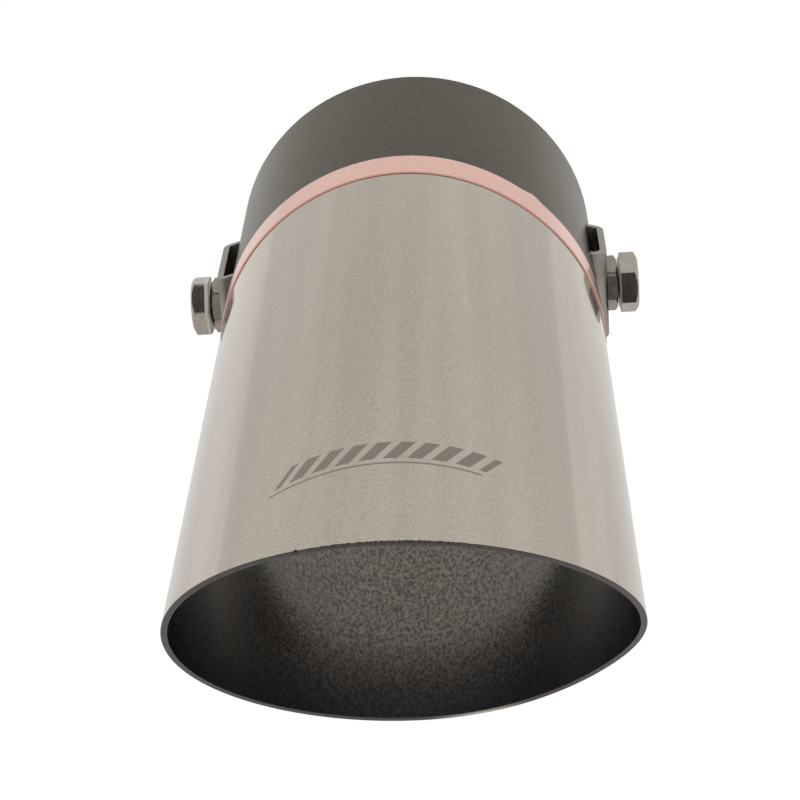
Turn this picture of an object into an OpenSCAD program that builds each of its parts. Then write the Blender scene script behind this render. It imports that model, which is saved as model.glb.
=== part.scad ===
// Slash-cut exhaust tip with a clamp bolt on each side, in millimetres.
// The tube lies along Y. Its inlet end is at y = 0, its outlet points to -Y,
// X is to the right and the longest point of the outlet is on top, at +Z.

/* [Tube] */
// Outside diameter of the tube
tube_od = 89; // [76:1:110]
// Thickness of the tube's sheet
tube_wall = 1.2; // [0.8:0.1:2]
// Length from the inlet end to the middle of the slanted outlet
tube_length = 201; // [150:1:260]
// Slant of the outlet, measured from a square end
slash_angle = 44; // [0:1:52]
// Turn of the slanted outlet about the axis, against the bolts
slash_turn = 1.7; // [0:0.1:5]
// How far the hand-cut outlet lies back at its lower right
dip_depth = 4.6; // [0:0.1:6]
// Place of that dip, as an angle about the axis from +X towards +Z
dip_at = -27; // [-60:1:0]
// Angle over which the dip fades out
dip_spread = 40; // [20:1:50]
// Lean of the outlet's cut face, from 0, square to the wall, to 1, flat across the tube
cut_lean = 0.6; // [0:0.1:1]

/* [Colour band] */
// Distance from the inlet end to the rear edge of the band
band_from = 60; // [50:1:80]
// Width of the band along the tube
band_width = 12; // [6:1:20]
// Thickness of the band's film
band_film = 0.3; // [0.2:0.1:1]

/* [Brackets] */
// Distance from the inlet end to the line through both bolts
bolt_from = 34.5; // [20:0.5:38]
// Height of a bracket across the tube, at its outer face
bracket_height = 21.6; // [19:0.1:30]
// Thickness of a bracket's sheet
bracket_sheet = 1.6; // [1.5:0.1:2.5]
// Space between the tube and the bridge of a bracket
bracket_gap = 0.9; // [0.5:0.1:1.8]
// Inside radius of a bracket's bends
bend_radius = 0.9; // [0.3:0.1:1.2]
// Lean of a bracket's upper and lower ends, which widen towards the tube
end_lean = 15.5; // [0:0.5:20]
// Radius on the outer corners of a bracket's ends
corner_radius = 0.4; // [0.2:0.1:2]

/* [Clamp bolts] */
// Nominal diameter of the bolt
bolt_d = 8; // [6:1:8]
// Length of the bolt under its head
bolt_length = 25; // [16:1:40]
// Width of the bolt's head across its flats
head_flats = 13; // [12:0.5:14]
// Height of the bolt's head
head_height = 4.75; // [4:0.05:6.5]
// Space between the nut and the bolt's head
head_gap = 0.35; // [0.2:0.05:2]
// Width of the nut across its flats
nut_flats = 12; // [11.5:0.5:15]
// Height of the nut
nut_height = 4.9; // [4.5:0.1:8]
// Turn of the right bolt's head about its axis
head_turn_right = 50; // [0:1:59]
// Turn of the left bolt's head about its axis
head_turn_left = 39; // [0:1:59]
// Turn of the right nut about its axis
nut_turn_right = 47; // [0:1:59]
// Turn of the left nut about its axis
nut_turn_left = 18; // [0:1:59]

/* [Fits] */
// Clearance between the nut's corners and its window in the bracket
nut_clearance = 0.15; // [0.05:0.05:0.3]
// Space between the corners of the nut and the legs of the bracket
leg_clearance = 1.6; // [0.4:0.1:2]
// Clearance round the bolt in the tube's wall
hole_clearance = 0.5; // [0.2:0.1:1]
// Clearance round the bolt in the nut
thread_clearance = 0.05; // [0.02:0.01:0.1]
// Space between a piece and the tube that it seats on
seat_clearance = 0.05; // [0.02:0.01:0.1]

/* [Hidden] */
$fn = 96;

tube_r = tube_od / 2;
bore_r = tube_r - tube_wall;
tip_y = -tube_length - tube_r * tan(slash_angle);
seat_r = tube_r + seat_clearance;
nut_corners = nut_flats / cos(30);
bracket_length = nut_corners + 2 * leg_clearance + 2 * bracket_sheet;
bridge_r = tube_r + bracket_gap;
face_r = bridge_r + bracket_sheet;
head_r = seat_r + nut_height + head_gap;
hex_chamfer = 30;
washer_face = 0.4;
tip_chamfer = 1;
over = 5;
rim_steps = 144;

steel = [0.62, 0.59, 0.55];
satin = [0.45, 0.43, 0.40];
rose = [0.84, 0.68, 0.64];

// How far the outlet lies back from its flat slant, at angle a about the axis
function dip(a) =
    let (off = (a - dip_at + 540) % 360 - 180)
    dip_depth * exp(-pow(off / dip_spread, 2));

// Where the outlet ends, at angle a about the axis from +X towards +Z
function rim_y(a) = -tube_length - tube_r * sin(a + slash_turn) * tan(slash_angle) + dip(a);

// Where the cut face lies at angle a, at a distance r from the axis
function cut_y(a, r) = rim_y(a) + cut_lean * (tube_r - r) * sin(a + slash_turn) * tan(slash_angle);

// Corners of the rim cutter's section at angle a: both edges of the cut, then the waste's end
function rim_section(a, inner, outer, end) = [
    [inner * cos(a), cut_y(a, inner), inner * sin(a)],
    [outer * cos(a), cut_y(a, outer), outer * sin(a)],
    [outer * cos(a), end, outer * sin(a)],
    [inner * cos(a), end, inner * sin(a)]];

// Ring that trims the outlet
module rim_cutter() {
    inner = bore_r - over;
    outer = tube_r + over;
    end = tip_y - over * (1 + tan(slash_angle));
    points = [for (i = [0:rim_steps - 1])
        each rim_section(360 * i / rim_steps, inner, outer, end)];
    faces = [for (i = [0:rim_steps - 1], k = [0:3])
        let (j = (i + 1) % rim_steps, m = (k + 1) % 4)
        each [[4 * i + k, 4 * i + m, 4 * j + k], [4 * i + m, 4 * j + m, 4 * j + k]]];
    polyhedron(points, faces, convexity = 6);
}

// Cylinder along the tube's axis, from one y to another
module along(r, from, to) {
    translate([0, from, 0]) rotate([90, 0, 0]) cylinder(r = r, h = from - to);
}

// Puts what is drawn about +Z, pointing outwards, on the bolt line of one side
module on_side(side) {
    translate([0, -bolt_from, 0]) rotate([0, side * 90, 0]) children();
}

// Six-sided prism with turned chamfers; lower and upper say which ends have one
module hexagon(flats, height, lower, upper) {
    corner_r = flats / cos(30) / 2;
    flat_r = flats / 2 * 0.97;
    cut = (corner_r - flat_r) * tan(hex_chamfer);
    intersection() {
        cylinder(r = corner_r, h = height, $fn = 6);
        rotate_extrude() polygon([
            [0, 0],
            [lower ? flat_r : corner_r + 1, 0],
            [lower ? corner_r : corner_r + 1, lower ? cut : 0],
            [upper ? corner_r : corner_r + 1, height - (upper ? cut : 0)],
            [upper ? flat_r : corner_r + 1, height],
            [0, height]]);
    }
}

// The one-piece tube, with its slanted outlet and a hole for each bolt
module tube() {
    color(steel) difference() {
        along(tube_r, 0, tip_y - 1);
        along(bore_r, over, tip_y - over);
        rim_cutter();
        for (side = [-1, 1])
            on_side(side) cylinder(r = bolt_d / 2 + hole_clearance, h = tube_r + over);
    }
}

// Film band between the dull inlet end and the polished front
module band() {
    inner = seat_r;
    color(rose) difference() {
        along(inner + band_film, -band_from, -band_from - band_width);
        along(inner, -band_from + over, -band_from - band_width - over);
    }
}

// Flat section of the folded bracket: a bridge with a short leg at each end
module channel_section() {
    outside = bend_radius + bracket_sheet;
    half = bracket_length / 2;
    foot = bore_r;
    difference() {
        union() {
            translate([foot, -half]) square([face_r - outside - foot, bracket_length]);
            translate([foot, outside - half]) square([face_r - foot, bracket_length - 2 * outside]);
            for (s = [-1, 1])
                translate([face_r - outside, s * (half - outside)]) circle(r = outside);
        }
        translate([foot - 1, bracket_sheet - half])
            square([bridge_r - bend_radius - foot + 1, bracket_length - 2 * bracket_sheet]);
        translate([foot - 1, outside - half])
            square([bridge_r - foot + 1, bracket_length - 2 * outside]);
        for (s = [-1, 1])
            translate([bridge_r - bend_radius, s * (half - outside)]) circle(r = bend_radius);
    }
}

// Outline of a bracket seen along the tube, which widens towards the tube
module bracket_outline() {
    top = bracket_height / 2;
    low = top + (face_r - bore_r) * tan(end_lean);
    r = corner_radius;
    difference() {
        polygon([[bore_r, -low], [face_r, -top], [face_r, top], [bore_r, low]]);
        for (s = [-1, 1]) difference() {
            translate([face_r - r, s > 0 ? top - r : -top - 1]) square([r + 1, r + 1]);
            translate([face_r - r, s * (top - r)]) circle(r = r);
        }
    }
}

// Folded bracket, saddled to the tube, with a round window for the nut
module bracket(side) {
    color(satin) translate([0, -bolt_from, 0]) scale([side, 1, 1]) difference() {
        intersection() {
            translate([0, 0, -bracket_height]) linear_extrude(2 * bracket_height) channel_section();
            rotate([90, 0, 0]) linear_extrude(2 * bracket_length, center = true) bracket_outline();
        }
        rotate([90, 0, 0]) cylinder(r = seat_r, h = 2 * bracket_length, center = true);
        rotate([0, 90, 0]) cylinder(r = nut_corners / 2 + nut_clearance, h = face_r + over);
    }
}

// Low nut that stands on the tube and shows through the bracket's window
module nut(side, turn) {
    color(steel) on_side(side) translate([0, 0, seat_r]) rotate(turn) difference() {
        hexagon(nut_flats, nut_height, true, true);
        translate([0, 0, -1]) cylinder(r = bolt_d / 2 + thread_clearance, h = nut_height + 2);
    }
}

// Clamp bolt: six-sided head, washer face and a shank with a chamfered tip
module bolt(side, turn) {
    shank_r = bolt_d / 2;
    color(steel) on_side(side) translate([0, 0, head_r]) {
        rotate(turn) translate([0, 0, washer_face])
            hexagon(head_flats, head_height - washer_face, false, true);
        rotate_extrude() polygon([
            [0, washer_face],
            [head_flats / 2 * 0.94, washer_face],
            [head_flats / 2 * 0.94, 0],
            [shank_r, 0],
            [shank_r, tip_chamfer - bolt_length],
            [shank_r - tip_chamfer, -bolt_length],
            [0, -bolt_length]]);
    }
}

tube();
band();
bracket(1);  // bracket_right
bracket(-1);  // bracket_left
nut(1, nut_turn_right);  // nut_right
nut(-1, nut_turn_left);  // nut_left
bolt(1, head_turn_right);  // bolt_right
bolt(-1, head_turn_left);  // bolt_left
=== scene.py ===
"""Dresses the slash-cut exhaust tip: a polished shell with a dark inlet end, a rose film band,
and on each side a folded bracket, a low nut and a clamp bolt."""
import math

import bmesh
import bpy
from mathutils import Matrix, Vector


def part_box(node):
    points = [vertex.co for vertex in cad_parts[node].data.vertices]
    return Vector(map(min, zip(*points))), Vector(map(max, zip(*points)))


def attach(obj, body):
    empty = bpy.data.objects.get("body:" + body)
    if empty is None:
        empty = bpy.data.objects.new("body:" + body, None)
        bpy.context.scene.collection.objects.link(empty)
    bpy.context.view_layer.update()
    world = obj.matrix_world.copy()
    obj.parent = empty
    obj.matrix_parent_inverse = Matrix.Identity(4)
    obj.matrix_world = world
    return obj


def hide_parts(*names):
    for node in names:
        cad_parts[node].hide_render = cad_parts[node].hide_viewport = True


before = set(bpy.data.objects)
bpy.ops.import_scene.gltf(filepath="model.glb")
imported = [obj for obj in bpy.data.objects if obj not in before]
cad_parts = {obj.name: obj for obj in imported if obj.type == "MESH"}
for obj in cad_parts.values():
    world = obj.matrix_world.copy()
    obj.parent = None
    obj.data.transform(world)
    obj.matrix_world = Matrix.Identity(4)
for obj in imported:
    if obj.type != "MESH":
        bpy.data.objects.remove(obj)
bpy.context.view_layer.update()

# Sizes that the frame gives, in metres
mm = 0.001
tube_low, tube_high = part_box("tube")
band_low, band_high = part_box("band")
bolt_low, bolt_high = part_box("bolt_right")
nut_low, nut_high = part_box("nut_right")
bracket_low, bracket_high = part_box("bracket_right")
tube_r = tube_high.x
tip_y = tube_low.y
bolt_y = (bolt_low.y + bolt_high.y) / 2

# Sizes of the tube and its hand-cut outlet
wall = 1.2 * mm
slant = math.tan(math.radians(44))
slant_turn = math.radians(1.7)
middle_y = tip_y + tube_r * slant
dip_depth = 4.6 * mm
dip_at = math.radians(-27)
dip_spread = math.radians(40)
cut_lean = 0.6
seam_y = (band_low.y + band_high.y) / 2
hole_r = 4.5 * mm
edge_break = 0.12 * mm
burr_height = 0.3 * mm
lone_burr_at = math.radians(109)
lone_burr_spread = math.radians(0.6)
lone_burr_share = 1.4
teeth_at = math.radians(88)
teeth_spread = math.radians(30)
teeth_scale = 90.0
steps_round = 1440

# Sizes of the film band
band_width = 11 * mm
film_edge = 0.03 * mm
film_taper = 0.6 * mm
drift = 2.0 * mm
drift_at = math.radians(42)
drift_spread = math.radians(50)
wrinkle_at = math.radians(48.7)
wrinkle_spread = math.radians(2.6)
wrinkle_reach = 1.0 * mm
wrinkle_lift = 0.12 * mm
wrinkle_length = 4 * mm
band_steps_round = 720

# Sizes of the M8 nuts and bolts
thread_r = 4.0 * mm
thread_pitch = 1.25 * mm
thread_depth = 0.68 * mm
thread_play = 0.05 * mm
thread_lead = 0.35 * mm
bolt_thread_steps = 200
nut_thread_steps = 34
fastener_steps_round = 72
head_flats = 13.0 * mm
nut_flats = 12.0 * mm
head_chamfer = 0.92
nut_chamfer = 0.97
chamfer_slope = math.tan(math.radians(30))
washer_face = 0.4 * mm
washer_share = 0.94
torn_left = 1.2 * mm
torn_right = 0.4 * mm
tip_chamfer = 1.0 * mm
neck_length = 1.6 * mm
head_gap = 0.35 * mm
head_r = nut_high.x + head_gap
head_turns = {1: 50, -1: 39}
nut_turns = {1: 47, -1: 18}
side_names = {1: "right", -1: "left"}

# Sizes of the folded brackets, whose front bend is wide and whose rear bend is tight
sheet = 1.6 * mm
face_x = bracket_high.x
half_height = 10.8 * mm
end_lean = math.tan(math.radians(15.5))
rear_bend = 1.7 * mm
front_bends = {1: 5.0 * mm, -1: 2.2 * mm}
rear_ends = {1: bracket_high.y, -1: bracket_high.y + 1.9 * mm}
front_ends = {1: bracket_low.y, -1: bracket_low.y - 0.8 * mm}
foot_x = tube_r - 2 * mm
window_r = 7.08 * mm


# Node trees

def both_ways(operation):
    """The two methods of an operator: a term with a value, and a value with a term."""
    def plain(self, other):
        return self.tree.math(operation, self, other)

    def reflected(self, other):
        return self.tree.math(operation, other, self)

    return plain, reflected


class Term:
    """A socket's value. Operators on terms add Math nodes to the tree."""
    __add__, __radd__ = both_ways("ADD")
    __sub__, __rsub__ = both_ways("SUBTRACT")
    __mul__, __rmul__ = both_ways("MULTIPLY")
    __truediv__, __rtruediv__ = both_ways("DIVIDE")
    __mod__, __rmod__ = both_ways("FLOORED_MODULO")
    __gt__, __lt__ = both_ways("GREATER_THAN")

    def __init__(self, tree, socket):
        self.tree = tree
        self.socket = socket

    def __neg__(self):
        return self * -1

    def other(self, name):
        """Another output of the same node."""
        return Term(self.tree, self.socket.node.outputs[name])


class Tree:
    """A node tree in the making."""

    def __init__(self, made):
        self.made = made

    def node(self, kind, settings=None, inputs=None, output=0):
        """Adds a node: its settings first, then its sockets' values or links."""
        added = self.made.nodes.new(kind)
        for name, value in (settings or {}).items():
            setattr(added, name, value)
        for name, value in (inputs or {}).items():
            if isinstance(value, Term):
                self.made.links.new(value.socket, added.inputs[name])
            else:
                added.inputs[name].default_value = value
        return Term(self, added.outputs[output]) if added.outputs else None

    def math(self, operation, *values):
        """A Math node."""
        return self.node("ShaderNodeMath", {"operation": operation}, dict(enumerate(values)))

    def vector(self, operation, *values, output="Vector"):
        """A Vector Math node."""
        settings = {"operation": operation}
        return self.node("ShaderNodeVectorMath", settings, dict(enumerate(values)), output)

    def split(self, vector):
        """The three parts of a vector."""
        first = self.node("ShaderNodeSeparateXYZ", None, {"Vector": vector})
        return first, first.other("Y"), first.other("Z")

    def join(self, x, y, z):
        """A vector of three parts."""
        return self.node("ShaderNodeCombineXYZ", None, {"X": x, "Y": y, "Z": z})

    def mix(self, factor, first, second):
        """A colour between two, by a factor."""
        inputs = {0: factor, 6: first, 7: second}
        return self.node("ShaderNodeMix", {"data_type": "RGBA"}, inputs, 2)

    def ramp(self, value, start, end, low=0.0, high=1.0, kind="LINEAR"):
        """A step from low at start to high at end."""
        inputs = {"Value": value, "From Min": start, "From Max": end, "To Min": low, "To Max": high}
        return self.node("ShaderNodeMapRange", {"interpolation_type": kind}, inputs)

    def fade(self, value, start, end, low=0.0, high=1.0):
        """A smooth step from low at start to high at end."""
        return self.ramp(value, start, end, low, high, "SMOOTHSTEP")

    def hump(self, value, middle, spread):
        """A smooth hump of height 1 about a middle."""
        return self.fade(self.math("ABSOLUTE", value - middle), spread, 0.0)

    def noise(self, place, scale, detail=2.0, roughness=0.5):
        """Noise at a place, about 0.5 on average."""
        inputs = {"Vector": place, "Scale": scale, "Detail": detail, "Roughness": roughness}
        return self.node("ShaderNodeTexNoise", None, inputs)

    def grain(self, place, scale):
        """Fine sandy grain, mostly near 0 or 1."""
        return self.fade(self.noise(place, scale, 2.0, 0.7), 0.30, 0.70)

    def bump(self, height, distance, strength=1.0):
        """A normal that follows a height, in units of the distance."""
        inputs = {"Height": height, "Distance": distance, "Strength": strength}
        return self.node("ShaderNodeBump", None, inputs)

    def place(self):
        """The point on the piece, in metres."""
        return self.node("ShaderNodeTexCoord", None, None, "Object")


def paint(red, green, blue):
    """A colour from its three screen values, 0 to 255."""
    def linear(value):
        share = value / 255
        return share / 12.92 if share <= 0.04045 else ((share + 0.055) / 1.055) ** 2.4
    return (linear(red), linear(green), linear(blue), 1.0)


def finish(name, build):
    """A material with the surface that build makes in its tree."""
    material = bpy.data.materials.new(name)
    material.use_nodes = True
    material.node_tree.nodes.clear()
    tree = Tree(material.node_tree)
    tree.node("ShaderNodeOutputMaterial", None, {"Surface": build(tree)})
    return material


def surface(tree, **inputs):
    """A Principled surface, with the names of its sockets in lower case and underscores."""
    named = {name.replace("_", " ").title(): value for name, value in inputs.items()}
    return tree.node("ShaderNodeBsdfPrincipled", None, named, "BSDF")


# The outlet's rim

outlet = {"Radius": tube_r, "Middle": middle_y, "Slant": slant, "Lean": cut_lean, "Dip": dip_depth}
rim_inputs = [(label, "NodeSocketFloat") for label in outlet]


def rim_line(tree, given, angle):
    """Where the outlet ends on the tube's outside, and the lean of its cut per unit of radius."""
    slope = tree.math("SINE", angle + slant_turn) * given["Slant"]
    off = (angle - dip_at + math.pi) % math.tau - math.pi
    dip = tree.math("EXPONENT", -(off / dip_spread) * (off / dip_spread)) * given["Dip"]
    return given["Middle"] - given["Radius"] * slope + dip, slope * given["Lean"]


# Finishes of the tube

def etched_mark(tree, x, y, z):
    """Mask of the plain etched bars on top, near the outlet."""
    aside = tree.math("ARCTAN2", x, z) * tube_r
    down = y - mark_y + aside * aside * mark_bow
    rows = tree.fade(tree.math("ABSOLUTE", down), mark_height / 2, mark_height / 2 - mark_soft)
    shifted = aside - down * mark_lean
    share = (shifted / mark_pitch) % 1.0
    bar_start = mark_fill / 2 + mark_edge
    bar_full = mark_fill / 2 - mark_edge
    bars = tree.fade(tree.math("ABSOLUTE", share - 0.5), bar_start, bar_full)
    ends = tree.fade(tree.math("ABSOLUTE", shifted), mark_width / 2, mark_width / 2 - mark_soft)
    line_down = tree.math("ABSOLUTE", down + mark_height / 2 + mark_line_gap)
    line = tree.fade(line_down, mark_line / 2 + mark_soft, mark_line / 2)
    return tree.math("MAXIMUM", bars * rows, line) * ends


def polished(tree):
    """Fine-grit polished bright steel with soft streaks along the tube and a generic etched mark; its
    colour is painted lighter toward the outlet, a painted highlight.
    """
    place = tree.place()
    x, y, z = tree.split(place)
    along = tree.join(x, y * streak_stretch, z)
    broad = tree.noise(along, broad_streaks)
    narrow = tree.noise(along, narrow_streaks)
    grain = tree.grain(place, shell_grain)
    mark = etched_mark(tree, x, y, z)
    tone = broad * 0.9 + narrow * 0.4 + grain * 0.65 - 0.475
    # Painted highlight: the colour grows lighter over the last stretch toward the outlet tip.
    tone = tone + tree.fade(y, tip_y + painted_light_length, tip_y) * 0.2
    colour = tree.mix(tone, shell_dark, shell_light)
    colour = tree.mix(mark, colour, mark_colour)
    roughness = 0.05 + grain * 0.04 + narrow * 0.02 + mark * 0.25
    normal = tree.bump(-mark, 0.01 * mm, 0.5)
    return surface(tree, base_color=colour, metallic=1.0, roughness=roughness,
                   specular_tint=shell_sheen, normal=normal)


def dark_satin(tree):
    """Dark satin steel on the outside of the inlet end."""
    place = tree.place()
    x, y, z = tree.split(place)
    cloud = tree.noise(tree.join(x, y * satin_stretch, z), satin_cloud, 3.0)
    grain = tree.grain(place, satin_grain)
    tone = cloud * 0.2 + grain * 0.8
    colour = tree.mix(tone, satin_dark, satin_light)
    roughness = 0.20 + cloud * 0.06 + grain * 0.06
    normal = tree.bump(grain, 0.016 * mm, 0.5)
    return surface(tree, base_color=colour, metallic=1.0, roughness=roughness,
                   specular_tint=satin_sheen, normal=normal)


def dark_bore(tree):
    """Dull dark inside of the tube, with a sandy grain. Painted shade makes it blacker at its mouth and
    away from its lowest line, where less light reaches."""
    place = tree.place()
    x, y, z = tree.split(place)
    turn = tree.math("ARCTAN2", z, x)
    rim, _ = rim_line(tree, outlet, turn)
    # Painted shade: the bore is darkened toward its mouth and on both sides of the lit strip along its
    # lowest line.
    mouth = tree.fade(y - rim, shaded_mouth_depth, 0.0)
    aside = tree.fade(tree.math("ABSOLUTE", turn - bore_low), lit_strip_spread, lit_strip_spread * 5)
    cloud = tree.noise(place, bore_cloud, 3.0)
    grain = tree.grain(tree.join(x, y * bore_stretch, z), bore_grain)
    tone = cloud * 0.2 + grain * 0.8
    colour = tree.mix(tone, bore_dark, bore_light)
    # The painted shade mixes the bore's colour toward near-black.
    bore_shade = tree.math("MAXIMUM", mouth * 0.8, aside * 0.5) * (1 - grain * 0.15)
    colour = tree.mix(bore_shade, colour, bore_shade_colour)
    roughness = 0.13 + cloud * 0.06 + grain * 0.04 + mouth * 0.12
    normal = tree.bump(grain, 0.016 * mm, 0.5)
    return surface(tree, base_color=colour, metallic=1.0, roughness=roughness, normal=normal)


def cut_steel(tree):
    """Cut edge, dull and dark, with fine strokes across the wall and a painted highlight: one stretch
    of its outer edge is painted bright."""
    place = tree.place()
    x, _, z = tree.split(place)
    turn = tree.math("ARCTAN2", z, x)
    reach = tree.math("SQRT", x * x + z * z)
    strokes = tree.noise(tree.join(turn * tube_r, 0.0, reach * stroke_stretch), cut_strokes, 3.0)
    outer_part = tree.fade(reach, tube_r - wall, tube_r - wall * 0.4)
    # Painted highlight: a bright stretch on the outer part of the cut, low on the right.
    rim_glint = tree.hump(turn, rim_glint_at, rim_glint_spread) * outer_part
    colour = tree.mix(strokes, cut_dark, cut_light)
    colour = tree.mix(rim_glint, colour, rim_glint_colour)
    roughness = 0.44 + strokes * 0.16 - rim_glint * 0.1
    metal = 0.35 + rim_glint * 0.4
    normal = tree.bump(strokes, 0.05 * mm, 0.7)
    return surface(tree, base_color=colour, metallic=metal, roughness=roughness, normal=normal)


# Finishes of the band, the brackets and the fasteners

def rose_film(tree):
    """Glossy rose film, a little darker along its front edge."""
    place = tree.place()
    x, y, z = tree.split(place)
    cloud = tree.noise(place, film_cloud, 3.0)
    grain = tree.grain(place, film_grain)
    turn = tree.math("ARCTAN2", z, x)
    edge_y = band_high.y - band_width - tree.hump(turn, drift_at, drift_spread) * drift
    edge = tree.fade(y - edge_y, film_taper, 0.0)
    tone = cloud * 0.4 + grain * 0.6
    colour = tree.mix(tone, film_dark, film_light)
    colour = tree.mix(edge * 0.6, colour, film_rim)
    roughness = 0.16 + cloud * 0.1
    normal = tree.bump(cloud, 0.02 * mm, 0.5)
    return surface(tree, base_color=colour, metallic=1.0, roughness=roughness, normal=normal)


def folded_sheet(tree):
    """Dull rolled steel sheet of the brackets, with a painted highlight that makes it lighter low in
    front.
    """
    place = tree.place()
    _, y, z = tree.split(place)
    cloud = tree.noise(place, sheet_cloud, 3.0)
    grain = tree.grain(place, steel_grain)
    # Painted highlight: the front of the bracket is painted lighter, most on its lower half.
    low_front_highlight = tree.fade(y, bracket_low.y + 3.5 * mm, bracket_low.y + 1 * mm)
    low_front_highlight = low_front_highlight * tree.fade(z, 8 * mm, 1 * mm, 0.1, 1.0)
    tone = cloud * 0.5 + grain * 0.5
    colour = tree.mix(tone, sheet_dark, sheet_light)
    colour = tree.mix(low_front_highlight * 0.6, colour, low_front_highlight_colour)
    roughness = 0.34 + cloud * 0.16 + grain * 0.04
    metal = 0.75 - low_front_highlight * 0.45
    normal = tree.bump(cloud, 0.04 * mm, 0.6)
    return surface(tree, base_color=colour, metallic=metal, roughness=roughness, normal=normal)


def dull_nut(tree):
    """Dull steel of the low nuts."""
    place = tree.place()
    cloud = tree.noise(place, steel_cloud, 3.0)
    grain = tree.grain(place, steel_grain)
    colour = tree.mix(cloud * 0.5 + grain * 0.5, nut_dark, nut_light)
    roughness = 0.20 + cloud * 0.16
    normal = tree.bump(cloud, 0.03 * mm, 0.6)
    return surface(tree, base_color=colour, metallic=0.85, roughness=roughness, normal=normal)


def bright_fastener(tree):
    """Bright cold-formed steel of the bolts. The heads' flats are torn and dull next to the
    washer face, where the trimming die left them."""
    place = tree.place()
    x, y, z = tree.split(place)
    cloud = tree.noise(place, steel_cloud, 3.0)
    grain = tree.grain(place, steel_grain)
    out = tree.math("ABSOLUTE", x) - head_r
    torn_end = tree.ramp(x, -mm, mm, torn_left, torn_right)
    torn = tree.fade(out, 0.1 * mm, 0.2 * mm) * tree.fade(out - torn_end, 0.15 * mm, 0.0)
    tears = tree.noise(tree.join(x, y * stroke_stretch, z * stroke_stretch), tear_strokes)
    tone = cloud * 0.4 + grain * 0.6
    colour = tree.mix(tone, bright_dark, bright_light)
    colour = tree.mix(torn * (0.7 + tears * 0.3), colour, torn_colour)
    roughness = 0.16 + cloud * 0.08 + grain * 0.04 + torn * 0.35
    metal = 1 - torn * 0.85
    normal = tree.bump(tears * torn, 0.05 * mm, 0.6)
    return surface(tree, base_color=colour, metallic=metal, roughness=roughness, normal=normal)


# Pieces and their meshes

def new_piece(name, mesh):
    """A linked object with that mesh."""
    piece = bpy.data.objects.new(name, mesh)
    bpy.context.scene.collection.objects.link(piece)
    return piece


def settle(piece):
    """Turns what the piece's modifiers make into its plain mesh."""
    graph = bpy.context.evaluated_depsgraph_get()
    mesh = bpy.data.meshes.new_from_object(piece.evaluated_get(graph), depsgraph=graph)
    piece.modifiers.clear()
    piece.data = mesh
    return piece


def modifier(piece, kind, **settings):
    """Adds a modifier with its settings."""
    added = piece.modifiers.new(kind.lower(), kind)
    for name, value in settings.items():
        setattr(added, name, value)


def round_edges(piece, width, segments=2, angle=30):
    """Rounds the piece's sharp edges."""
    modifier(piece, "BEVEL", width=width, segments=segments, limit_method="ANGLE",
             angle_limit=math.radians(angle))
    return settle(piece)


def shade(piece):
    """Shades a piece smooth between its sharp edges and keeps its large faces even."""
    piece.data.shade_smooth()
    piece.data.set_sharp_from_angle(angle=math.radians(35))
    modifier(piece, "WEIGHTED_NORMAL", keep_sharp=True)
    return settle(piece)


def break_edges(piece, width, segments=2, angle=30):
    """Rounds a piece's sharp edges and shades it."""
    return shade(round_edges(piece, width, segments, angle))


def hand_over(piece, slot, *nodes):
    """Puts a finished piece on the body in its nodes' place and hides those nodes. The slot is not
    used.
    """
    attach(piece, "root")
    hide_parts(*nodes)


def new_growth(name, inputs):
    """A Geometry Nodes tree with named inputs, each given as (name, socket type)."""
    group = bpy.data.node_groups.new(name, "GeometryNodeTree")
    group.interface.new_socket("Geometry", in_out="OUTPUT", socket_type="NodeSocketGeometry")
    for label, kind in inputs:
        group.interface.new_socket(label, in_out="INPUT", socket_type=kind)
    tree = Tree(group)
    first = tree.node("NodeGroupInput")
    terms = {label: first.other(label) for label, kind in inputs}
    return group, tree, terms


def grow(piece, group, values):
    """Turns a piece into the plain mesh that a Geometry Nodes tree makes from named values."""
    grower = piece.modifiers.new("growth", "NODES")
    grower.node_group = group
    for item in group.interface.items_tree:
        if item.in_out == "INPUT" and item.name in values:
            grower[item.identifier] = values[item.name]
    return settle(piece)


# Turned pieces

def turned(name, stations, steps, closed=False):
    """A piece turned about Z. Each station gives its radius and height at an angle;
    a closed piece joins the last station to the first, an open one ends on the axis."""
    build = bmesh.new()
    rings = []
    for station in stations:
        ring = []
        for step in range(steps):
            angle = math.tau * step / steps
            radius, height = station(angle)
            ring.append(build.verts.new((radius * math.cos(angle), radius * math.sin(angle), height)))
        rings.append(ring)
    pairs = list(zip(rings, rings[1:]))
    if closed:
        pairs.append((rings[-1], rings[0]))
    for lower, upper in pairs:
        for step in range(steps):
            after = (step + 1) % steps
            build.faces.new((lower[step], lower[after], upper[after], upper[step]))
    bmesh.ops.remove_doubles(build, verts=build.verts, dist=0.001 * mm)
    bmesh.ops.dissolve_degenerate(build, edges=build.edges, dist=0.0005 * mm)
    bmesh.ops.recalc_face_normals(build, faces=build.faces)
    mesh = bpy.data.meshes.new(name)
    build.to_mesh(mesh)
    build.free()
    return new_piece(name, mesh)


def side_matrix(side):
    """Turns +Z outwards on one side of the tube and puts the piece on the bolt line."""
    return Matrix.Translation((0, bolt_y, 0)) @ Matrix.Rotation(side * math.pi / 2, 4, "Y")


def disc(radius, height):
    """A round station."""
    return lambda angle: (radius, height)


def cut_away(piece, name, radius, steps, place, material):
    """Cuts a long round hole through a piece. The hole's wall takes the material."""
    reach = 2 * tube_r
    stations = [disc(0, -reach), disc(radius, -reach), disc(radius, reach), disc(0, reach)]
    cutter = turned(name, stations, steps)
    cutter.data.transform(place)
    cutter.data.materials.append(material)
    modifier(piece, "BOOLEAN", operation="DIFFERENCE", object=cutter, solver="EXACT",
             material_mode="TRANSFER")
    settle(piece)
    bpy.data.objects.remove(cutter)


# The tube

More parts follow.
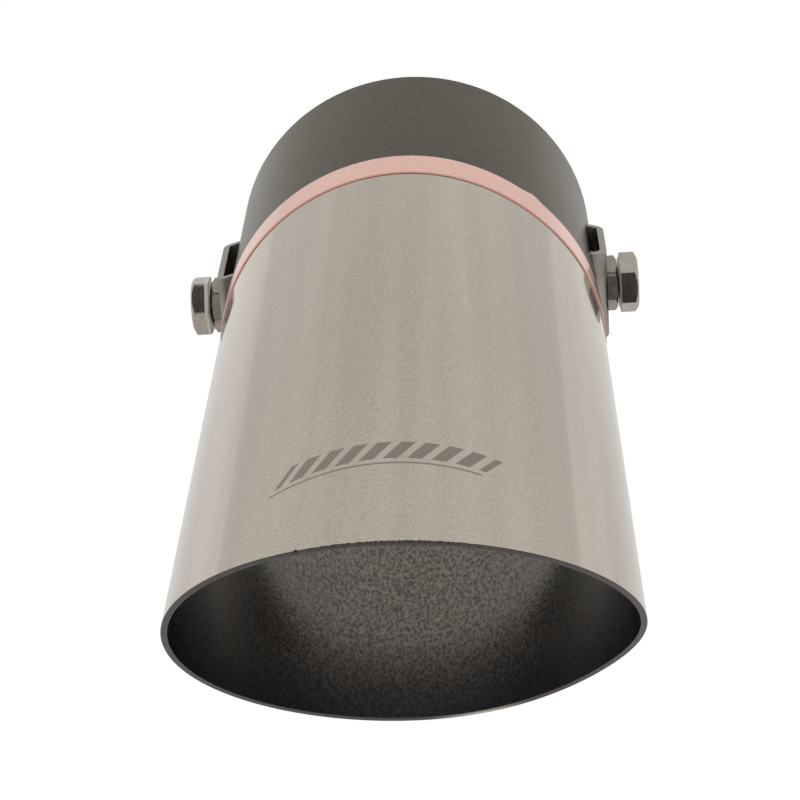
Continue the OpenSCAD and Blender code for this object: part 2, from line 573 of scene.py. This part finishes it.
def burr_growth():
    """Tree of the cut's ragged outer edge: fine teeth on top and one lone burr beside them,
    all moved back along the tube, so that no edge folds over."""
    group, tree, given = new_growth("burr_growth", [("Geometry", "NodeSocketGeometry")] + rim_inputs + [
        ("Reach", "NodeSocketFloat"), ("Burr", "NodeSocketFloat")])
    x, y, z = tree.split(tree.node("GeometryNodeInputPosition"))
    angle = tree.math("ARCTAN2", z, x)
    rim, _ = rim_line(tree, given, angle)
    off_rim = tree.math("ABSOLUTE", y - rim)
    off_side = given["Radius"] - tree.math("SQRT", x * x + z * z)
    near = tree.fade(tree.math("MAXIMUM", off_rim, off_side), given["Reach"] * 2, given["Reach"])
    around = tree.join(tree.math("COSINE", angle), tree.math("SINE", angle), 0.0)
    lone = tree.hump(angle, lone_burr_at, lone_burr_spread) * lone_burr_share
    teeth = tree.fade(tree.noise(around, teeth_scale, 2.0, 0.6), 0.40, 0.62)
    crown = tree.hump(angle, teeth_at, teeth_spread)
    back = given["Burr"] * near * (lone + teeth * crown)
    made = tree.node("GeometryNodeSetPosition", None, {
        "Geometry": given["Geometry"], "Offset": tree.join(0.0, back, 0.0)})
    tree.node("NodeGroupOutput", None, {"Geometry": made})
    return group


def tube_growth(bore, cut, front, rear):
    """Tree of the whole tube: one closed outline, swept round the axis. Its rows go down the
    outside from the inlet to the slanted outlet, over the cut and back through the bore."""
    group, tree, given = new_growth("tube_growth", rim_inputs + [
        ("Wall", "NodeSocketFloat"), ("Seam", "NodeSocketFloat"), ("Steps round", "NodeSocketInt")])
    at_seam, at_rim, at_bore, at_inlet, rows = 2, 10, 13, 21, 22
    grid = tree.node("GeometryNodeMeshGrid", None, {
        "Size X": 1.0, "Size Y": 1.0,
        "Vertices X": given["Steps round"] + 1, "Vertices Y": rows + 1})
    u, v, _ = tree.split(tree.node("GeometryNodeInputPosition"))
    angle = (u + 0.5) * math.tau
    row = (v + 0.5) * rows
    rim, lean = rim_line(tree, given, angle)
    inner_rim = rim + lean * given["Wall"]
    y = (tree.ramp(row, 0, at_seam) * given["Seam"]
         + tree.ramp(row, at_seam, at_rim) * (rim - given["Seam"])
         + tree.ramp(row, at_rim, at_bore) * (inner_rim - rim)
         - tree.ramp(row, at_bore, at_inlet) * inner_rim)
    inward = tree.ramp(row, at_rim, at_bore) - tree.ramp(row, at_inlet, rows)
    radius = given["Radius"] - given["Wall"] * inward
    place = tree.join(radius * tree.math("COSINE", angle), y, radius * tree.math("SINE", angle))
    moved = tree.node("GeometryNodeSetPosition", None, {"Geometry": grid, "Position": place})
    closed = tree.node("GeometryNodeMergeByDistance", None, {
        "Geometry": moved, "Distance": 0.01 * mm})
    made = tree.node("GeometryNodeRealizeInstances", None, {"Geometry": closed})
    x, y, z = tree.split(tree.node("GeometryNodeInputPosition"))
    depth = (given["Radius"] - tree.math("SQRT", x * x + z * z)) / given["Wall"]
    behind = y > given["Seam"]
    for material, where in ((bore, depth > 0.9), (cut, depth < 0.9), (front, depth < 0.1),
                            (rear, tree.math("MULTIPLY", depth < 0.1, behind))):
        made = tree.node("GeometryNodeSetMaterial", None, {
            "Geometry": made, "Selection": where, "Material": material})
    tree.node("NodeGroupOutput", None, {"Geometry": made})
    return group


def make_tube(front, rear, bore, cut):
    """The one-piece tube with its slanted outlet and a hole for each bolt."""
    values = {**outlet, "Wall": wall, "Seam": seam_y, "Steps round": steps_round,
              "Burr": burr_height, "Reach": 2 * edge_break}
    tube = grow(new_piece("tube_shell", bpy.data.meshes.new("tube_shell")),
                tube_growth(bore, cut, front, rear), values)
    cut_away(tube, "drill", hole_r, 96, side_matrix(1), cut)
    return shade(grow(round_edges(tube, edge_break), burr_growth(), values))


# Nuts and bolts

def hexagon(across, height, turn, direction, share=0.97):
    """A six-sided station that a turned chamfer lowers; direction 1 is up, -1 down, 0 has none.
    The chamfer starts at a share of the distance to the flats."""
    flat_r = across / 2

    def station(angle):
        part = (angle - turn) % (math.pi / 3) - math.pi / 6
        radius = flat_r / math.cos(part)
        drop = (radius - flat_r * share) * chamfer_slope
        return (radius, height - direction * drop)
    return station


def thread_radius(angle, height, crest):
    """Radius of a right-hand thread with flats on its crests and roots."""
    share = (height / thread_pitch - angle / math.tau) % 1
    ramp = abs(share - 0.5) * 2
    return crest - thread_depth * min(1, max(0, (ramp - 0.15) / 0.65))


def threaded(height, crest, limit=None):
    """A station of a thread, no wider than a limit."""
    def station(angle):
        radius = thread_radius(angle, height, crest)
        return (radius if limit is None else min(radius, limit), height)
    return station


def levels(start, end, count):
    """Heights from one to another, in equal steps."""
    return [start + (end - start) * step / count for step in range(count + 1)]


def make_bolt(side, material):
    """Hex bolt with a turned chamfer, a washer face, a thread and a chamfered tip."""
    turn = math.radians(head_turns[side])
    top = bolt_high.x
    tip = bolt_low.x
    neck = head_r - neck_length
    chamfer_r = head_flats / 2 * head_chamfer
    dish_r = chamfer_r - 0.5 * mm
    washer_r = head_flats / 2 * washer_share
    point = thread_r - tip_chamfer
    stations = [disc(0, tip), disc(point, tip)]
    stations += [threaded(height, thread_r, point + height - tip)
                 for height in levels(tip, neck, bolt_thread_steps)[1:-1]]
    stations += [disc(thread_r - thread_depth / 2, neck), disc(thread_r, neck + 0.5 * mm),
                 disc(thread_r, head_r), disc(washer_r, head_r), disc(washer_r, head_r + washer_face),
                 hexagon(head_flats, head_r + washer_face, turn, 0),
                 hexagon(head_flats, top, turn, 1, head_chamfer),
                 disc(chamfer_r, top), disc(dish_r, top), disc(0, top)]
    bolt = turned("clamp_bolt_" + side_names[side], stations, fastener_steps_round)
    bolt.data.transform(side_matrix(side))
    bolt.data.materials.append(material)
    return break_edges(bolt, 0.12 * mm, 2, 25)


def make_nut(side, material):
    """Low nut with both ends chamfered and a threaded bore."""
    turn = math.radians(nut_turns[side])
    bottom = nut_low.x
    top = nut_high.x
    crest = thread_r + thread_play
    chamfer_r = nut_flats / 2 * nut_chamfer
    mouth = crest + 0.3 * mm
    stations = [disc(mouth, top)]
    stations += [threaded(height, crest)
                 for height in levels(top - thread_lead, bottom + thread_lead, nut_thread_steps)]
    stations += [disc(mouth, bottom), disc(chamfer_r, bottom), hexagon(nut_flats, bottom, turn, -1),
                 hexagon(nut_flats, top, turn, 1), disc(chamfer_r, top)]
    nut = turned("low_nut_" + side_names[side], stations, fastener_steps_round, True)
    nut.data.transform(side_matrix(side))
    nut.data.materials.append(material)
    return break_edges(nut, 0.1 * mm, 2, 25)


# The band and the brackets

def make_band(material):
    """Film band round the tube, drifting forward on its right. Its front edge is pressed down
    and its rear edge has one wrinkle."""
    inner_r = tube_r + 0.01 * mm
    outer_r = band_high.x
    across = 30

    def wrinkle(angle):
        off = (angle - wrinkle_at) / wrinkle_spread
        return math.exp(-off * off)

    def forward(angle):
        off = (angle - drift_at + math.pi) % math.tau - math.pi
        share = max(0, 1 - abs(off) / drift_spread)
        return drift * share * share * (3 - 2 * share)

    def outside(along):
        def station(angle):
            near_front = min(1, max(0, (band_width - along) / film_taper))
            rise = film_edge + (outer_r - inner_r - film_edge) * math.sin(near_front * math.pi / 2)
            near_rear = max(0, 1 - along / wrinkle_length)
            fold = wrinkle(angle) * near_rear
            reach = along + forward(angle) - wrinkle_reach * fold * near_rear
            return (inner_r + rise + wrinkle_lift * fold, reach)
        return station

    def inside(along):
        def station(angle):
            near_rear = max(0, 1 - along / wrinkle_length)
            fold = wrinkle(angle) * near_rear * near_rear
            return (inner_r, along + forward(angle) - wrinkle_reach * fold)
        return station

    stations = [outside(along) for along in levels(0, band_width - film_taper, across)]
    stations += [outside(along) for along in levels(band_width - film_taper, band_width, 6)[1:]]
    stations += [inside(along) for along in levels(band_width, 0, across)]
    band = turned("rose_band", stations, band_steps_round, True)
    along_tube = Matrix.Rotation(math.pi / 2, 4, "X")
    band.data.transform(Matrix.Translation((0, band_high.y, 0)) @ along_tube)
    band.data.materials.append(material)
    return break_edges(band, 0.03 * mm, 2, 40)


def arc(centre, radius, start, end, steps=10):
    """Points along an arc, from one angle in degrees to another."""
    points = []
    for degrees in levels(start, end, steps):
        angle = math.radians(degrees)
        points.append((centre[0] + radius * math.cos(angle), centre[1] + radius * math.sin(angle)))
    return points


def bracket_plan(side):
    """Outline of a bracket seen from above: a bridge between a tight rear and a wide front bend."""
    rear = rear_ends[side]
    front = front_ends[side]
    wide = front_bends[side]
    tight_centre = (face_x - rear_bend, rear - rear_bend)
    wide_centre = (face_x - wide, front + wide)
    outer = [(foot_x, rear)] + arc(tight_centre, rear_bend, 90, 0) + arc(wide_centre, wide, 0, -90)
    inner = arc(wide_centre, wide - sheet, -90, 0) + arc(tight_centre, rear_bend - sheet, 0, 90)
    return outer + [(foot_x, front), (foot_x, front + sheet)] + inner + [(foot_x, rear - sheet)]


def make_bracket(side, material):
    """Folded bracket, saddled to the tube, with a round window for the nut."""
    plan = bracket_plan(side)
    name = "folded_bracket_" + side_names[side]
    build = bmesh.new()
    rings = []
    for way in (-1, 1):
        rings.append([build.verts.new((side * x, y, way * (half_height + (face_x - x) * end_lean)))
                      for x, y in plan])
    build.faces.new(rings[0])
    build.faces.new(rings[1])
    for step in range(len(plan)):
        after = (step + 1) % len(plan)
        build.faces.new((rings[0][step], rings[0][after], rings[1][after], rings[1][step]))
    bmesh.ops.remove_doubles(build, verts=build.verts, dist=0.001 * mm)
    bmesh.ops.recalc_face_normals(build, faces=build.faces)
    mesh = bpy.data.meshes.new(name)
    build.to_mesh(mesh)
    build.free()
    mesh.materials.append(material)
    bracket = new_piece(name, mesh)
    along_tube = Matrix.Rotation(math.pi / 2, 4, "X")
    cut_away(bracket, "saddle", tube_r + 0.01 * mm, 360, along_tube, material)
    cut_away(bracket, "window", window_r, 360, side_matrix(1), material)
    return break_edges(bracket, 0.12 * mm, 2, 30)


# Surroundings

def plain_floor(tree):
    """White floor that shows as the white background and still takes a soft shadow.
    What mirrors it finds it dark in front of the part, where no light falls."""
    x, y, _ = tree.split(tree.place())
    path = tree.node("ShaderNodeLightPath", None, None, "Is Camera Ray")
    mirrored = tree.math("MAXIMUM", path.other("Is Glossy Ray"), path.other("Is Transmission Ray"))
    unlit = mirrored * tree.fade(y, front_light, front_dark)
    unlit = unlit * tree.fade(tree.math("ABSOLUTE", x), front_half + front_soft, front_half)
    seen = tree.math("MAXIMUM", path, mirrored - unlit)
    colour = tree.mix(unlit, floor_colour, front_colour)
    lit = tree.node("ShaderNodeBsdfDiffuse", None, {"Color": colour})
    reflected = tree.fade(y, near_floor, far_floor, near_level, far_level)
    strength = path * white_level + (1 - path) * reflected
    white = tree.node("ShaderNodeEmission", None, {"Color": pure_white, "Strength": strength})
    return tree.node("ShaderNodeMixShader", None, {0: seen * floor_white, 1: lit, 2: white})


def lay_floor():
    """A wide floor under the part, which hangs above it as it does when it is fitted."""
    half = floor_half
    down = -floor_drop
    corners = [(-half, -half, down), (half, -half, down), (half, half, down), (-half, half, down)]
    mesh = bpy.data.meshes.new("floor")
    mesh.from_pydata(corners, [], [(0, 1, 2, 3)])
    floor = new_piece("floor", mesh)
    mesh.materials.append(finish("plain_floor", plain_floor))


def light_world():
    """White studio all round, a little dimmer near the horizon, with two dark patches in front
    that the facing facets mirror."""
    world = bpy.data.worlds.new("studio")
    bpy.context.scene.world = world
    world.use_nodes = True
    world.node_tree.nodes.clear()
    tree = Tree(world.node_tree)
    heading = tree.node("ShaderNodeTexCoord", None, None, "Generated")
    dark = 0.0
    for up, inner, outer in dark_patches:
        way = Vector((0.0, -math.cos(up), math.sin(up)))
        facing = tree.vector("DOT_PRODUCT", heading, way, output="Value")
        dark = tree.math("MAXIMUM", dark, tree.fade(facing, math.cos(outer), math.cos(inner)))
    _, _, height = tree.split(heading)
    sky = tree.fade(height, 0.0, dim_height, horizon_level, sky_level)
    seen = tree.node("ShaderNodeLightPath", None, None, "Is Camera Ray")
    strength = tree.math("MAXIMUM", sky * (1 - dark) + dark * dark_level, seen)
    light = tree.node("ShaderNodeBackground", None, {"Color": pure_white, "Strength": strength})
    tree.node("ShaderNodeOutputWorld", None, {"Surface": light})


def aim_camera():
    """The camera above and in front of the outlet."""
    eye = Vector((20.88, -589.62, 230.54)) * mm
    aim = Vector((-0.83, -134.25, 18.08)) * mm
    roll = math.radians(-4.277)
    lens = bpy.data.cameras.new("camera")
    lens.lens = 110.18
    lens.sensor_width = 36
    camera = bpy.data.objects.new("camera", lens)
    turn = (aim - eye).to_track_quat("-Z", "Y").to_matrix() @ Matrix.Rotation(roll, 3, "Z")
    camera.matrix_world = Matrix.Translation(eye) @ turn.to_4x4()
    bpy.context.scene.collection.objects.link(camera)
    bpy.context.scene.camera = camera


# Colours of the finishes

shell_light = paint(188, 181, 169)
shell_dark = paint(150, 142, 130)
shell_sheen = paint(255, 251, 247)
satin_light = paint(98, 93, 87)
satin_dark = paint(18, 17, 16)
satin_sheen = paint(224, 221, 215)
bore_light = paint(122, 112, 103)
bore_dark = paint(20, 18, 15)
# Painted shade of the bore: its colour, how far it reaches from the mouth, and the lit strip's
# half-width.
bore_shade_colour = paint(20, 18, 16)
shaded_mouth_depth = 36 * mm
bore_low = math.radians(-93)
lit_strip_spread = math.radians(11)
cut_light = paint(104, 97, 91)
cut_dark = paint(30, 27, 25)
# Painted highlight on the cut: its colour, where it sits and how wide it is.
rim_glint_colour = paint(196, 190, 181)
rim_glint_at = math.radians(-74)
rim_glint_spread = math.radians(16)
bright_light = paint(196, 189, 179)
bright_dark = paint(140, 133, 124)
torn_colour = paint(232, 223, 209)
nut_light = paint(176, 169, 160)
nut_dark = paint(112, 106, 99)
sheet_light = paint(174, 167, 158)
sheet_dark = paint(126, 119, 111)
# Colour of the painted highlight low on the brackets' front.
low_front_highlight_colour = paint(186, 178, 168)
film_light = paint(236, 190, 176)
film_dark = paint(218, 166, 151)
film_rim = paint(158, 112, 104)

# Scales of the patterns, per metre, and how far they are drawn out

streak_stretch = 0.02
broad_streaks = 60.0
narrow_streaks = 240.0
painted_light_length = 100 * mm
shell_grain = 2400.0
satin_stretch = 0.3
satin_cloud = 40.0
satin_grain = 2200.0
bore_stretch = 0.4
bore_cloud = 60.0
bore_grain = 1500.0
stroke_stretch = 0.15
cut_strokes = 2000.0
tear_strokes = 3600.0
film_cloud = 160.0
film_grain = 2000.0
sheet_cloud = 220.0
steel_cloud = 420.0
steel_grain = 2600.0

# The etched mark

mark_colour = paint(128, 120, 109)
mark_y = -211 * mm
mark_width = 38 * mm
mark_height = 6.5 * mm
mark_pitch = 4.2 * mm
mark_fill = 0.62
mark_edge = 0.03
mark_lean = 0.5
mark_bow = 2.5
mark_line = 0.5 * mm
mark_line_gap = 1.6 * mm
mark_soft = 0.12 * mm

# The studio: its sky, the dark patches in front (height, inner and outer radius), and the floor

sky_level = 0.87
horizon_level = 0.79
dim_height = 0.18
dark_patches = [(math.radians(-5), math.radians(12), math.radians(24)),
                (math.radians(53), math.radians(14), math.radians(28))]
dark_level = 0.06
white_level = 1.02
floor_half = 6.0
floor_drop = 0.25
front_half = 0.45
front_soft = 0.4
front_dark = -0.50
front_light = -0.15
front_colour = paint(20, 20, 20)
near_floor = 0.35
far_floor = 1.1
near_level = 0.77
far_level = 0.91
floor_white = 0.95
floor_colour = paint(253, 253, 253)
pure_white = paint(255, 255, 255)

# Everything in its place

front = finish("polished_steel", polished)
rear = finish("dark_satin", dark_satin)
bore = finish("dark_bore", dark_bore)
cut = finish("cut_steel", cut_steel)
folded = finish("folded_sheet", folded_sheet)
bright = finish("bright_fastener", bright_fastener)
dull = finish("dull_nut", dull_nut)

hand_over(make_tube(front, rear, bore, cut), "tube_steel", "tube")
hand_over(make_band(finish("rose_film", rose_film)), "rose_film", "band")
for side, name in side_names.items():
    hand_over(make_bracket(side, folded), "bracket_steel", "bracket_" + name)
    hand_over(make_nut(side, dull), "fastener_steel", "nut_" + name)
    hand_over(make_bolt(side, bright), "fastener_steel", "bolt_" + name)

lay_floor()
light_world()
aim_camera()
bpy.context.scene.view_settings.view_transform = "Standard"
